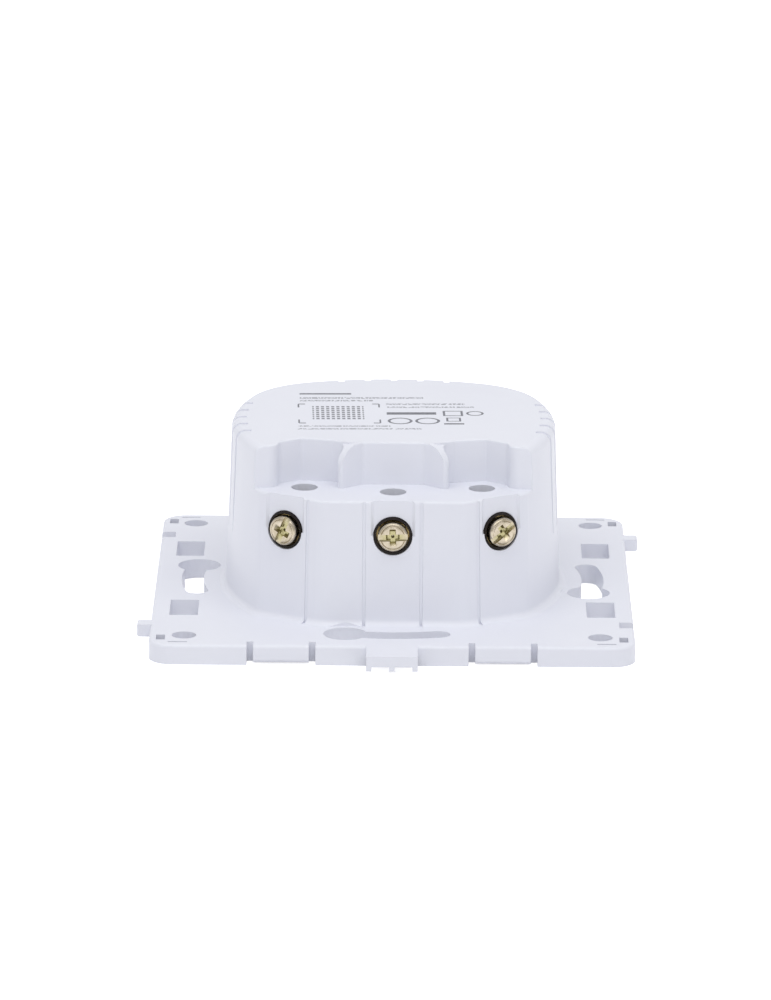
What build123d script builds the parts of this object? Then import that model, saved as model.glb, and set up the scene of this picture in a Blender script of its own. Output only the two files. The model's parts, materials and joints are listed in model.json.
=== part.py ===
from build123d import *
from math import asin, atan2, cos, degrees, hypot, radians, sin, sqrt, tan
import os

# Relay module of a flush-mounted smart light switch, on its square mounting frame.
# Millimetres. X to the right, Y to the rear edge, Z out of the module's back, into the wall box.
# The origin is the middle of the frame, on the face that lies against the wall.

# Mounting frame
frame_size = 71.0
frame_corner_r = 3.5
frame_depth = 3.0
frame_plate = 1.6
frame_wall = 1.4
frame_edge_r = 0.5
collar_wall = 1.0
collar_short = 0.1

# Screw slots for the wall box, four keyholes on one circle
box_circle_r = 30.0
keyhole_head_r = 3.2
keyhole_slot = 3.3
keyhole_swing = 13.2

# Other holes of the frame
corner_hole_pitch = 60.8
corner_hole_r = 1.8
window_w = 4.2
window_h = 8.0
window_x = 30.8
window_y = 16.0
latch_hole_w = 1.3
latch_hole_h = 2.5
latch_hole_x = 33.8
latch_hole_y = 31.5
sliver_w = 2.8
sliver_h = 0.4
sliver_x = 31.25
sliver_y = 33.8

# Spring tabs of the front and rear edges, between two slits each
slit_w = 0.95
slit_depth = 1.9
slit_wall = 0.8
tab_inner_x = 12.1
tab_outer_x = 20.2
tab_short = 0.3
tab_chamfer = 0.5

# Ganging tab, lugs and their notches
gang_tab_half = 3.75
gang_tab_out = 5.5
gang_tab_t = 1.55
gang_prong_w = 0.8
gang_prong_drop = 0.65
gang_prong_len = 1.3
lug_w = 2.6
lug_out = 2.0
lug_t = 1.85
lug_round = 0.35
lug_y = 23.9
gang_clearance = 0.15

# Rear housing, a cup with drafted walls
cup_half = 25.0
cup_height = 25.1
cup_bulge_r = 40.0
cup_corner_r = 15.0
cup_draft = 2.0
cup_wall = 1.6
cup_roof = 1.8
cup_edge_r = 1.5
cup_front_round = 3.5
cup_foot_r = 1.0
foot_steps = 5
foot_relief = 0.9

# Front of the cup: a flat in the middle and a facet on each side
facet_angle = 30.0
facet_distance = 27.0
ledge_z = 18.7
bay_mid_half = 4.5
bay_mid_back = 4.1
side_bay_corners = [(-6.5, 1.6), (-4.05, 3.2), (0.6, 4.1), (3.7, 2.1), (4.25, -0.4)]
side_bay_rounds = [1.2, 0.9, 0.6, 1.2, 1.6]
mid_bay_round = 0.8
rim_round = 0.25
lip_round = 0.4
partition_root = (-7.9, 2.05)
partition_tip = (-5.5, 0.0)
partition_t = 1.15
partition_tip_r = 0.5
partition_top_r = 3.6
partition_cut = 2.5
panel_mid_half = 4.2
panel_side_half = 3.9
panel_line_w = 0.45
panel_line_depth = 0.1
channel_half = 2.85
channel_side = 0.3
channel_depth = 0.33
channel_edge = 0.08
dimple_r = 0.4
dimple_x = -11.8
dimple_z = 4.3

# Vent grooves round the top of the cup
groove_w = 0.9
groove_start_z = 9.5
groove_depth = 0.22
groove_top_run = 2.2
side_groove_y = [7.75, 3.75, -0.25, -4.25, -8.25]
rear_groove_x = [-8.0, -4.0, 0.0, 4.0, 8.0]

# Screw clamps
screw_z = 13.5
wire_setback = 5.7
wire_hole_r = 1.95
side_clamp_shift = 3.04
screw_hole_r = 2.875
head_clearance = 0.2
head_t = 1.45
head_edge_t = 0.75
head_seat = 3.3
screw_open = 1.9
shank_r = 1.45
spigot_r = 0.9
slot_w = 0.75
slot_depth = 0.65
cross_w = 0.8
cross_len = 2.9
cross_depth = 1.0
screw_turns = [66.0, 2.0, 33.0]
cage_wall = 1.2
cage_side = 0.6
cage_back = 0.7
cage_half = 2.6
cage_z_low = 10.7
cage_z_high = 15.9
clamp_space = 2.0
busbar_t = 1.0
busbar_half = 1.9
busbar_tail_half = 0.9
busbar_tail_drop = 1.2
plate_t = 0.8
plate_half = 1.8
plate_tall = 4.4
body_half = 3.6
body_back = 4.3
body_floor = 0.9
body_cap = 0.8
collar_clearance = 0.075
collar_t = 0.35
collar_inset = 0.15

# Clearances
running = 0.05
loose = 0.1
slip = 0.15
board_gap = 0.5
ledge_gap = 0.1
same_level = 0.01

# Boards
cover_t = 1.4
cover_inset = 0.4
cover_rim = 1.2
control_z = 0.2
control_t = 1.0
power_z = 5.4
power_t = 1.6

# Cover screws and their bosses, and the posts of the power board
boss_r = 2.4
boss_rear_in = 2.35
boss_front_y = -9.0
boss_side_in = 2.1
cover_screw_r = 1.1
cover_screw_head_r = 2.1
cover_screw_len = 9.0
cover_cross_len = 2.5
cover_cross_w = 0.5
post_r = 2.0
post_side_y = 3.0
post_side_in = 2.45
post_rear_in = 2.6
board_screw_r = 0.9
board_screw_head_r = 1.8
board_screw_head_t = 1.2
board_screw_len = 7.0

# Front fittings
guide_w = 12.0
guide_h = 1.6
guide_y = -13.0
guide_flange = 0.8
guide_led_gap = 0.3
led_count = 3
led_w = 1.6
led_h = 1.0
led_t = 0.7
socket_w = 14.0
socket_h = 5.0
socket_y = 4.0
socket_wall = 1.0
socket_floor = 1.0
socket_pin = 0.6
socket_pin_count = 8
socket_pin_pitch = 1.27
header_w = 15.0
header_d = 2.5
header_y = -6.5
header_pin = 0.64
header_pin_count = 6
header_pin_pitch = 2.3
header_pin_out = 0.7
radio_w = 16.0
radio_h = 12.0
radio_t = 0.8
radio_pads = 9
radio_pad_r = 0.35
radio_x = -4.0
radio_y = 11.0
shield_w = 12.0
shield_h = 9.5
shield_t = 1.8
shield_wall = 0.2
shield_vent_r = 0.5
shield_vents = (4, 3)
antenna_len = 14.0
antenna_r = 0.4
antenna_height = 2.2
antenna_y = 19.6
chip_side = 7.0
chip_t = 0.9
chip_x = 10.0
chip_y = 8.0
chip_leads = 10
chip_lead_w = 0.22
chip_lead_out = 0.9
chip_lead_t = 0.15
chip_edge = 0.12

# Relay, changeover type, with its coil upright
relay_w = 19.0
relay_d = 15.4
relay_headroom = 1.0
relay_x = -9.0
relay_y = 4.7
relay_wall = 0.8
relay_base_t = 1.6
yoke_clear = 0.6
yoke_top_clear = 3.5
yoke_t = 1.4
yoke_w = 9.0
core_r = 2.0
core_stem_r = 1.2
coil_r = 4.6
bobbin_r = 5.2
bobbin_flange = 0.8
coil_x = 1.9
armature_t = 1.2
armature_gap = 0.45
armature_len = 12.2
spring_t = 0.3
spring_w = 5.0
spring_len = 14.6
spring_root = 2.0
contact_r = 1.2
contact_t = 0.6
contact_gap = 0.62
contact_reach = 13.6
blade_t = 0.6
blade_w = 3.2

# Other parts on the power board, as (x, y) of the middle
film_cap = (10.5, 5.0, 11.0)
film_cap_at = (8.0, 16.9)
can_round = 0.5
can_crimp_r = 0.45
can_crimp_up = 1.8
bulk_cap_r = 4.0
bulk_cap_headroom = 3.3
bulk_cap_at = (16.0, 7.8)
choke_r = 3.9
choke_h = 9.0
choke_flange = 1.4
choke_neck_r = 2.0
choke_at = (6.9, 8.6)
varistor_r = 3.9
varistor_t = 4.0
varistor_lead = 1.5
varistor_at = (6.6, -0.6)
fuse_r = 3.8
fuse_h = 8.0
fuse_round = 0.8
fuse_at = (14.3, -2.4)
bridge = (6.5, 5.0, 2.4)
bridge_at = (-3.4, -10.4)
bridge_leads = 2
regulator = (5.0, 4.0, 1.6)
regulator_at = (5.6, -10.0)
regulator_leads = 3
regulator_tab_w = 3.0
lead_out = 1.2
lead_t = 0.25
lead_w = 0.7
body_up = 0.1

# Heights that follow from the sizes above
front_z = -frame_depth
cover_top = front_z + cover_t
control_top = control_z + control_t
power_top = power_z + power_t
ledge_under = ledge_z - cup_roof
roof_under = cup_height - cup_roof
slope = tan(radians(cup_draft))
reach = 2 * frame_size
collar_r = screw_hole_r - collar_clearance
collar_bore_r = collar_r - collar_t
head_r = collar_bore_r - head_clearance
relay_h = roof_under - relay_headroom - power_top
bulk_cap_h = roof_under - bulk_cap_headroom - power_top


def block(x0, x1, y0, y1, z0, z1):
    middle = Pos((x0 + x1) / 2, (y0 + y1) / 2, (z0 + z1) / 2)
    return middle * Box(x1 - x0, y1 - y0, z1 - z0)


def pillar(x, y, r, z0, z1):
    return Pos(x, y, (z0 + z1) / 2) * Cylinder(r, z1 - z0)


def rod(r, x0, x1, z):
    return Pos((x0 + x1) / 2, 0, z) * Rot(0, 90, 0) * Cylinder(r, x1 - x0)


def standing(size, at, z):
    width, depth, height = size
    return Pos(at[0], at[1], z + height / 2) * Box(width, depth, height)


def raise_face(face, z0, z1):
    return Pos(0, 0, z0) * extrude(face, amount=z1 - z0)


def save(name, shape):
    solids = shape.solids()
    body = Compound(children=list(solids)) if len(solids) > 1 else solids[0]
    body.label = name
    export_step(body, f"parts/{name}.step")


# Plan of the cup at its foot: three bulged sides with round corners, and a faceted front.
# An inset of more than nothing gives the plan of what lies that far inside it.
def cup_outline(inset=0.0):
    half = cup_half - inset
    bulge = cup_bulge_r - inset
    corner = cup_corner_r - inset
    facet = facet_distance - inset
    offset_k = bulge - half
    centre = (sqrt(2 * (bulge - corner) ** 2 - offset_k**2) - offset_k) / 2
    grow = bulge / (bulge - corner)
    tangent = (-offset_k + (centre + offset_k) * grow, centre * grow)
    diagonal = centre + corner / sqrt(2)
    angle = radians(facet_angle)
    swing = angle - asin((facet + offset_k * sin(angle)) / bulge)
    side = (-offset_k + bulge * cos(swing), bulge * sin(swing))
    front_x = (facet - half * cos(angle)) / sin(angle)
    rear_mid = (tangent[1] / 2, plan_bulge(tangent[1] / 2, half, bulge))
    right = [
        Line((0, -half), (front_x, -half)),
        Line((front_x, -half), side),
        ThreePointArc(side, (half, 0), tangent),
        ThreePointArc(tangent, (diagonal, diagonal), (tangent[1], tangent[0])),
        ThreePointArc((tangent[1], tangent[0]), rear_mid, (0, half)),
    ]
    left = [mirror(edge, Plane.YZ) for edge in right]
    face = make_face(right + left)
    front = [v for v in face.vertices() if v.Y < side[1] / 2 and abs(v.X) > front_x / 2]
    return fillet(front, cup_front_round - inset)


# Distance of a bulged side from the middle, at a place along the side
def plan_bulge(along, half, bulge):
    return sqrt(bulge**2 - along**2) - (bulge - half)


# Place of a clamp's wire hole, with local X straight out of the wall. 1 is left, 2 middle, 3 right.
def clamp_place(number):
    side = number - 2
    angle = radians(facet_angle) * side
    wall = facet_distance if side else cup_half
    out = wall - screw_z * slope - wire_setback
    along = side_clamp_shift * side
    x = out * sin(angle) + along * cos(angle)
    y = -out * cos(angle) + along * sin(angle)
    return Location((x, y, 0), (0, 0, degrees(angle) - 90))


def clamp_point(number):
    position = clamp_place(number).position
    return position.X, position.Y


# Places of the bosses and posts
def boss_points():
    half = cup_half - cup_wall
    bulge = cup_bulge_r - cup_wall
    offset_k = cup_bulge_r - cup_half
    centre = (sqrt(2 * (cup_bulge_r - cup_corner_r) ** 2 - offset_k**2) - offset_k) / 2
    rear = centre + (cup_corner_r - cup_wall - boss_rear_in) / sqrt(2)
    side = plan_bulge(boss_front_y, half, bulge) - boss_side_in
    return [(-side, boss_front_y), (side, boss_front_y), (-rear, rear), (rear, rear)]


def post_points():
    half = cup_half - cup_wall
    side = plan_bulge(post_side_y, half, cup_bulge_r - cup_wall) - post_side_in
    return [(-side, post_side_y), (side, post_side_y), (0, half - post_rear_in)]


# Keyholes: the wide end and the arc slot, in the front position
def keyhole_plan(grow=0.0):
    start = radians(-90 - keyhole_swing)
    end = radians(-90 + keyhole_swing)
    head = (box_circle_r * cos(start), box_circle_r * sin(start))
    tail = (box_circle_r * cos(end), box_circle_r * sin(end))
    path = ThreePointArc(head, (0, -box_circle_r), tail)
    return Pos(*head) * Circle(keyhole_head_r + grow) + SlotArc(path, keyhole_slot + 2 * grow)


def keyhole_heads():
    start = radians(-90 - keyhole_swing)
    return [
        (box_circle_r * cos(start + radians(90 * k)), box_circle_r * sin(start + radians(90 * k)))
        for k in range(4)
    ]


def four_corners(x, y):
    return [Pos(i * x, j * y) for i in (-1, 1) for j in (-1, 1)]


def square_and_round_holes(grow=0.0):
    plan = Sketch()
    for place in four_corners(window_x, window_y):
        plan += place * Rectangle(window_w + 2 * grow, window_h + 2 * grow)
    for place in four_corners(corner_hole_pitch / 2, corner_hole_pitch / 2):
        plan += place * Circle(corner_hole_r + grow)
    return plan


def frame_holes():
    plan = square_and_round_holes()
    for k in range(4):
        plan += Rot(0, 0, 90 * k) * keyhole_plan()
    return plan


def slit_starts():
    middles = (tab_inner_x - slit_w / 2, tab_outer_x + slit_w / 2)
    return [i * x - slit_w / 2 for i in (-1, 1) for x in middles]


# Walls on the front side, round every hole and round the slits
def stiffening_plan():
    plan = square_and_round_holes(collar_wall)
    for k in range(4):
        plan += Rot(0, 0, 90 * k) * keyhole_plan(collar_wall)
    deep = slit_depth + slit_wall
    for x in slit_starts():
        for side in (-1, 1):
            middle = Pos(x + slit_w / 2, side * (frame_size - deep) / 2)
            plan += middle * Rectangle(slit_w + 2 * slit_wall, deep)
    return plan


def edge_details(frame):
    half = frame_size / 2
    for side in (-1, 1):
        for x in slit_starts():
            edge = sorted((side * (half - slit_depth), side * (half + 1)))
            frame -= block(x, x + slit_w, *edge, front_z - 1, 1)
        for i in (-1, 1):
            low, high = sorted((i * tab_inner_x, i * tab_outer_x))
            edge = sorted((side * (half - frame_wall), side * (half + 1)))
            frame -= block(low, high, *edge, front_z - 1, front_z + tab_short)
            wedge = Plane.YZ * make_face(
                Polyline(
                    (side * half, front_z + tab_short + tab_chamfer),
                    (side * (half - tab_chamfer), front_z + tab_short),
                    (side * (half - tab_chamfer), front_z - 1),
                    (side * (half + 1), front_z - 1),
                    (side * (half + 1), front_z + tab_short + tab_chamfer),
                    close=True,
                )
            )
            frame -= Pos(low, 0, 0) * extrude(wedge, amount=high - low)
    return frame


def ganging(frame):
    half = frame_size / 2
    tab_end = -half - gang_tab_out
    frame += block(-gang_tab_half, gang_tab_half, tab_end, -half + frame_wall, -gang_tab_t, 0)
    for x in (-gang_tab_half, -gang_prong_w / 2, gang_tab_half - gang_prong_w):
        bottom = -gang_tab_t - gang_prong_drop
        frame += block(x, x + gang_prong_w, tab_end, tab_end + gang_prong_len, bottom, -gang_tab_t / 2)
    notch_half = gang_tab_half + gang_clearance
    notch_low = half - gang_tab_out - gang_clearance
    frame -= block(-notch_half, notch_half, notch_low, half + 1, front_z - 1, 1)
    for side in (-1, 1):
        x = sorted((side * (half - frame_wall), side * (half + lug_out)))
        y = side * lug_y
        lug = block(*x, y - lug_w / 2, y + lug_w / 2, -lug_t, 0)
        frame += fillet(lug.edges().group_by(Axis.X)[-1 if side > 0 else 0], lug_round)
        x = sorted((side * (half - lug_out - gang_clearance), side * (half + 1)))
        wide = lug_w / 2 + gang_clearance
        frame -= block(*x, -y - wide, -y + wide, front_z - 1, 1)
    return frame


def mounting_frame():
    plan = RectangleRounded(frame_size, frame_size, frame_corner_r)
    inner = frame_size - 2 * frame_wall
    hollow = RectangleRounded(inner, inner, frame_corner_r - frame_wall)
    frame = raise_face(plan, front_z, 0)
    frame = fillet(frame.edges().group_by(Axis.Z)[-1], frame_edge_r)
    frame -= raise_face(hollow, front_z - 1, -frame_plate)
    frame += raise_face(stiffening_plan() & hollow, front_z + collar_short, -frame_plate)
    frame = frame - raise_face(frame_holes(), front_z - 1, 1)
    frame -= raise_face(cup_outline(cup_wall), front_z - 1, 1)
    small = Sketch()
    for place in four_corners(latch_hole_x, latch_hole_y):
        small += place * Rectangle(latch_hole_w, latch_hole_h)
    for place in four_corners(sliver_x, sliver_y):
        small += place * Rectangle(sliver_w, sliver_h)
    frame = frame - raise_face(small, front_z - 1, 1)
    frame = edge_details(frame)
    return ganging(frame)


# Upright plate between two bays: its root, its direction and its length, on the right side
def partition_axis():
    x, y = clamp_point(3)
    root = Vector(x + partition_root[0], y + partition_root[1])
    tip = Vector(x + partition_tip[0], y + partition_tip[1])
    return root, (tip - root).normalized(), (tip - root).length + partition_t / 2


# Corners of the bays on the right side, from the middle outwards, each with its rounding
def bay_corners(with_plate):
    x, y = clamp_point(3)
    corners = [((bay_mid_half, clamp_point(2)[1] + bay_mid_back), mid_bay_round)]
    if with_plate:
        root, along, length = partition_axis()
        across = Vector(-along.Y, along.X) * (partition_t / 2)
        for edge in (root + along * length - across, root + along * length + across):
            corners.append(((edge.X, edge.Y), partition_tip_r))
    for (dx, dy), radius in zip(side_bay_corners, side_bay_rounds):
        corners.append(((x + dx, y + dy), radius))
    return corners


# Plan of the space in front of the raised block, over the ledge. It is plain, or it leaves the
# plates between the bays standing and has its corners rounded.
def bay_plan(with_plates=True):
    corners = bay_corners(with_plates)
    right = [place for place, radius in corners]
    cheek = right[-1][1]
    left = [(-px, py) for px, py in reversed(right)]
    front = [(reach, cheek), (reach, -reach), (-reach, -reach), (-reach, cheek)]
    plan = make_face(Polyline(*left, *right, *front, close=True))
    if with_plates:
        for (px, py), radius in corners:
            pair = [v for v in plan.vertices() if hypot(abs(v.X) - px, v.Y - py) < loose]
            plan = fillet(pair, radius)
    return plan


# What comes off the top corner of a plate between two bays
def partition_rounding(side):
    root, along, length = partition_axis()
    start, low = length - partition_top_r, cup_height - partition_top_r
    middle = (start + partition_top_r / sqrt(2), low + partition_top_r / sqrt(2))
    profile = make_face(
        [
            ThreePointArc((start, cup_height), middle, (length, low)),
            Line((length, low), (length + 1, low)),
            Line((length + 1, low), (length + 1, cup_height + 1)),
            Line((length + 1, cup_height + 1), (start, cup_height + 1)),
            Line((start, cup_height + 1), (start, cup_height)),
        ]
    )
    cutter = extrude(Plane.XZ * profile, amount=partition_cut, both=True)
    cutter = Pos(root.X, root.Y, 0) * Rot(0, 0, degrees(atan2(along.Y, along.X))) * cutter
    if side < 0:
        cutter = mirror(cutter, Plane.YZ)
    return cutter & raise_face(bay_plan(False), ledge_z, cup_height + 1)


# Cutter along the drafted front wall at a clamp. The section is (out of the wall, along it).
def wall_cutter(number, section, low, high):
    faces = []
    for z in (low, high):
        wall = wire_setback + (screw_z - z) * slope
        points = [(wall + out, along) for out, along in section]
        faces.append(Pos(0, 0, z) * make_face(Polyline(*points, close=True)))
    return clamp_place(number) * loft(faces, ruled=True)


# Thin lines beside a screw from the foot to the ledge: two in the middle, else one, inwards
def panel_line(number, middle):
    low, high = middle - panel_line_w / 2, middle + panel_line_w / 2
    inner, outer = -panel_line_depth, cup_foot_r + 1
    section = [(inner, low), (outer, low), (outer, high), (inner, high)]
    return wall_cutter(number, section, -1, ledge_z + 1)


def panel_lines(number):
    if number == 2:
        return [-panel_mid_half, panel_mid_half]
    return [(2 - number) * panel_side_half]


# Shallow channel with slanted sides, from the ledge down to the middle of a screw's hole
def channel(number):
    side = [
        (-channel_depth, channel_half),
        (-channel_edge, channel_half + channel_side),
        (0, channel_half + channel_side + channel_edge),
        (1, channel_half + channel_side + channel_edge),
    ]
    section = side + [(out, -along) for out, along in reversed(side)]
    return wall_cutter(number, section, screw_z, ledge_z + 1)


def groove_cutter(along, angle):
    top = plan_bulge(along, cup_half, cup_bulge_r) - cup_height * slope
    face = top - groove_depth
    inner = top - groove_top_run
    floor = cup_height - groove_depth
    profile = make_face(
        Polyline(
            (top + (cup_height - groove_start_z) * slope, groove_start_z),
            (face, floor),
            (inner, floor),
            (inner, cup_height + 1),
            (cup_half + 1, cup_height + 1),
            (cup_half + 1, groove_start_z),
            close=True,
        )
    )
    bend = [v for v in profile.vertices() if abs(v.X - face) < loose and abs(v.Y - floor) < loose]
    profile = fillet(bend, cup_edge_r - groove_depth)
    cutter = extrude(Plane.XZ * profile, amount=groove_w / 2, both=True)
    return Rot(0, 0, angle) * Pos(0, along, 0) * cutter


def foot_flare():
    faces = []
    for i in range(foot_steps + 1):
        z = cup_foot_r * i / foot_steps
        out = cup_foot_r - sqrt(cup_foot_r**2 - (cup_foot_r - z) ** 2)
        faces.append(Pos(0, 0, z) * cup_outline(z * slope - out))
    flare = loft(faces, ruled=True)
    for x, y in keyhole_heads():
        flare -= pillar(x, y, keyhole_head_r + foot_relief, -1, cup_foot_r + 1)
    return flare


# Level edges of the cup at one height, in front of a place
def level_edges(cup, z, front_of):
    level = cup.edges().filter_by_position(Axis.Z, z - same_level, z + same_level)
    return [edge for edge in level if edge.center().Y < front_of]


# The cup's outside: drafted walls, round top edge, bays with round rims, vent grooves
def cup_outside():
    cup = extrude(cup_outline(), amount=cup_height, taper=cup_draft)
    top_rim = cup.edges().filter_by_position(Axis.Z, cup_height - loose, cup_height + loose)
    cup = fillet(top_rim, cup_edge_r)
    cup -= raise_face(bay_plan(), ledge_z, cup_height + 1)
    bay_back = clamp_point(3)[1] + side_bay_corners[2][1]
    cheek_y = clamp_point(3)[1] + side_bay_corners[-1][1]
    round_rim = fillet(level_edges(cup, cup_height, bay_back + 1), rim_round)
    round_lip = fillet(level_edges(cup, ledge_z, cheek_y - 1), lip_round)
    cup = round_rim & round_lip
    for side in (-1, 1):
        cup -= partition_rounding(side)
    for along in side_groove_y:
        cup -= groove_cutter(along, 0)
        cup -= mirror(groove_cutter(along, 0), Plane.YZ)
    for along in rear_groove_x:
        cup -= groove_cutter(-along, 90)
    return cup


def rear_housing():
    cup = cup_outside()
    outer = cup
    cup += foot_flare()
    for number in (1, 2, 3):
        cup -= channel(number)
        for middle in panel_lines(number):
            cup -= panel_line(number, middle)

    cavity = extrude(cup_outline(cup_wall), amount=roof_under, taper=cup_draft)
    bay_floor = offset(bay_plan(False), cup_wall, kind=Kind.INTERSECTION)
    cavity -= raise_face(bay_floor, ledge_under, cup_height)
    cup -= cavity
    for x, y in boss_points():
        boss = pillar(x, y, boss_r, cover_top, roof_under)
        cup += boss & raise_face(cup_outline(cup_wall + slip), cover_top, 0)
        cup += boss & outer
    for x, y in post_points():
        cup += pillar(x, y, post_r, power_top, roof_under) & outer
    for x, y in boss_points():
        cup -= pillar(x, y, cover_screw_r, cover_top - 1, cover_top + cover_screw_len)
    for x, y in post_points():
        cup -= pillar(x, y, board_screw_r, power_top - 1, power_top + board_screw_len)
    for number in (1, 2, 3):
        place = clamp_place(number)
        cup -= place * pillar(0, 0, wire_hole_r, ledge_under - 1, ledge_z + 1)
        cup -= place * rod(screw_hole_r, wire_setback - 2 * cup_wall, wire_setback + 3, screw_z)
    dimple_y = -(cup_half - dimple_z * slope)
    cup -= Pos(dimple_x, dimple_y, dimple_z) * Sphere(dimple_r)
    return cup


# Cover over the front of the cup, in the recess of the frame, with a rim inside the cup
def front_cover():
    cover = raise_face(cup_outline(cover_inset), front_z, cover_top)
    outer_rim = cup_wall + slip
    rim = cup_outline(outer_rim) - cup_outline(outer_rim + cover_rim)
    rim = raise_face(rim, cover_top, control_z)
    for x, y in boss_points():
        rim -= pillar(x, y, boss_r + slip, cover_top - 1, control_z + 1)
    cover += rim
    for x, y in boss_points():
        cover -= pillar(x, y, cover_screw_r + loose, front_z - 1, cover_top + 1)
        sink = cover_screw_head_r - cover_screw_r
        cone = Cone(cover_screw_head_r + loose, cover_screw_r + loose, sink)
        cover -= Pos(x, y, front_z + sink / 2) * cone
    wide, high = guide_w / 2 + running, guide_h / 2 + running
    cover -= block(-wide, wide, guide_y - high, guide_y + high, front_z - 1, cover_top + 1)
    wide, high = socket_w / 2 + loose, socket_h / 2 + loose
    cover -= block(-wide, wide, socket_y - high, socket_y + high, front_z - 1, cover_top + 1)
    return cover


def cover_screws():
    sink = cover_screw_head_r - cover_screw_r
    screws = Part()
    for x, y in boss_points():
        shank = pillar(x, y, cover_screw_r - running, front_z + loose, cover_top + cover_screw_len - 1)
        head = Pos(x, y, front_z + sink / 2) * Cone(cover_screw_head_r, cover_screw_r, sink)
        screw = shank + head
        for turn in (0, 90):
            cross = Box(cover_cross_len, cover_cross_w, sink)
            screw -= Pos(x, y, front_z) * Rot(0, 0, turn) * cross
        screws += screw
    return screws


def light_guide():
    wide, high = guide_w / 2, guide_h / 2
    guide = block(-wide, wide, guide_y - high, guide_y + high, front_z, cover_top)
    wide, high = wide + guide_flange, high + guide_flange
    top = control_z - led_t - guide_led_gap
    return guide + block(-wide, wide, guide_y - high, guide_y + high, cover_top, top)


def status_leds():
    leds = Part()
    pitch = guide_w / led_count
    for i in range(led_count):
        x = pitch * (i - (led_count - 1) / 2)
        leds += standing((led_w, led_h, led_t), (x, guide_y), control_z - led_t)
    return leds


# Pins in a row or in two rows, and the same pins a little fatter, as holes
def socket_pins(grow=0.0):
    pins = Part()
    half = socket_pin / 2 + grow
    low = front_z + socket_wall - grow
    high = control_top + socket_pin + grow
    for i in range(socket_pin_count // 2):
        x = socket_pin_pitch * (2 * i - (socket_pin_count // 2 - 1))
        for y in (socket_y - socket_pin_pitch / 2, socket_y + socket_pin_pitch / 2):
            pins += block(x - half, x + half, y - half, y + half, low, high)
    return pins


def panel_socket():
    wide, high = socket_w / 2, socket_h / 2
    socket = block(-wide, wide, socket_y - high, socket_y + high, front_z, control_z)
    wide, high = wide - socket_wall, high - socket_wall
    socket -= block(-wide, wide, socket_y - high, socket_y + high, front_z - 1, control_z - socket_floor)
    return socket - socket_pins(running)


def header_pins(grow=0.0):
    pins = Part()
    half = header_pin / 2 + grow
    low = control_z - header_pin_out - grow
    high = power_top + header_pin_out + grow
    for i in range(header_pin_count):
        x = header_pin_pitch * (i - (header_pin_count - 1) / 2)
        pins += block(x - half, x + half, header_y - half, header_y + half, low, high)
    return pins


def board_header():
    wide, deep = header_w / 2, header_d / 2
    header = block(-wide, wide, header_y - deep, header_y + deep, control_top, power_z)
    return header - header_pins(running)


def board(z0, z1):
    plate = raise_face(cup_outline(cup_wall + z1 * slope + board_gap), z0, z1)
    for x, y in boss_points():
        plate -= pillar(x, y, boss_r + board_gap / 2, z0 - 1, z1 + 1)
    return plate


def control_board():
    plate = board(control_z, control_top)
    return plate - socket_pins(running) - header_pins(running)


def power_board():
    plate = board(power_z, power_top) - header_pins(running)
    for x, y in post_points():
        plate -= pillar(x, y, board_screw_r + loose, power_z - 1, power_top + 1)
    for number in (1, 2, 3):
        plate -= clamp_place(number) * busbar_tail(loose)
    return plate


def board_screws():
    screws = Part()
    for x, y in post_points():
        head = pillar(x, y, board_screw_head_r, power_z - board_screw_head_t, power_z)
        slot = Box(2 * board_screw_head_r, slot_w, board_screw_head_t)
        head -= Pos(x, y, power_z - board_screw_head_t) * slot
        screws += head + pillar(x, y, board_screw_r - running, power_z, power_top + board_screw_len - 1)
    return screws


def radio_module():
    module = standing((radio_w, radio_h, radio_t), (radio_x, radio_y), control_top)
    pitch = radio_h / (radio_pads + 1)
    for side in (-1, 1):
        for i in range(radio_pads):
            y = radio_y - radio_h / 2 + pitch * (i + 1)
            module -= pillar(radio_x + side * radio_w / 2, y, radio_pad_r, control_top - 1, control_top + 1)
    return module


def radio_shield():
    low = control_top + radio_t
    can = standing((shield_w, shield_h, shield_t), (radio_x, radio_y), low)
    inner = (shield_w - 2 * shield_wall, shield_h - 2 * shield_wall, shield_t - shield_wall)
    can -= standing(inner, (radio_x, radio_y), low)
    across, along = shield_vents
    for i in range(across):
        for j in range(along):
            x = radio_x + shield_w * ((i + 1) / (across + 1) - 1 / 2)
            y = radio_y + shield_h * ((j + 1) / (along + 1) - 1 / 2)
            can -= pillar(x, y, shield_vent_r, low + shield_t / 2, low + shield_t + 1)
    return can


def antenna():
    low = control_top + antenna_r
    top = control_top + antenna_height
    half = antenna_len / 2
    path = FilletPolyline(
        (-half, antenna_y, low),
        (-half, antenna_y, top),
        (half, antenna_y, top),
        (half, antenna_y, control_top),
        radius=antenna_r * 2,
    )
    section = Plane(origin=(-half, antenna_y, low), z_dir=(0, 0, 1)) * Circle(antenna_r)
    wire = sweep(section, path=path)
    return wire + pillar(-half, antenna_y, antenna_r, control_top, low)


# A package on the board with bent leads along two sides, in one piece with its body
def leaded_chip(size, at, z, count, lead, sides=(-1, 1)):
    width, out, thick = lead
    body = Pos(0, 0, body_up) * standing(size, (0, 0), 0)
    body = chamfer(body.edges().group_by(Axis.Z)[-1], chip_edge)
    pitch = size[0] / count
    rise = body_up + size[2] / 2
    for side in sides:
        edge = side * size[1] / 2
        for i in range(count):
            x = pitch * (i - (count - 1) / 2)
            ends = sorted((edge - side * thick, edge + side * out / 2))
            body += block(x - width / 2, x + width / 2, *ends, rise - thick, rise)
            ends = sorted((edge + side * (out / 2 - thick), edge + side * out / 2))
            body += block(x - width / 2, x + width / 2, *ends, 0, rise)
            ends = sorted((edge + side * (out / 2 - thick), edge + side * out))
            body += block(x - width / 2, x + width / 2, *ends, 0, thick)
    return Pos(at[0], at[1], z) * body


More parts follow.
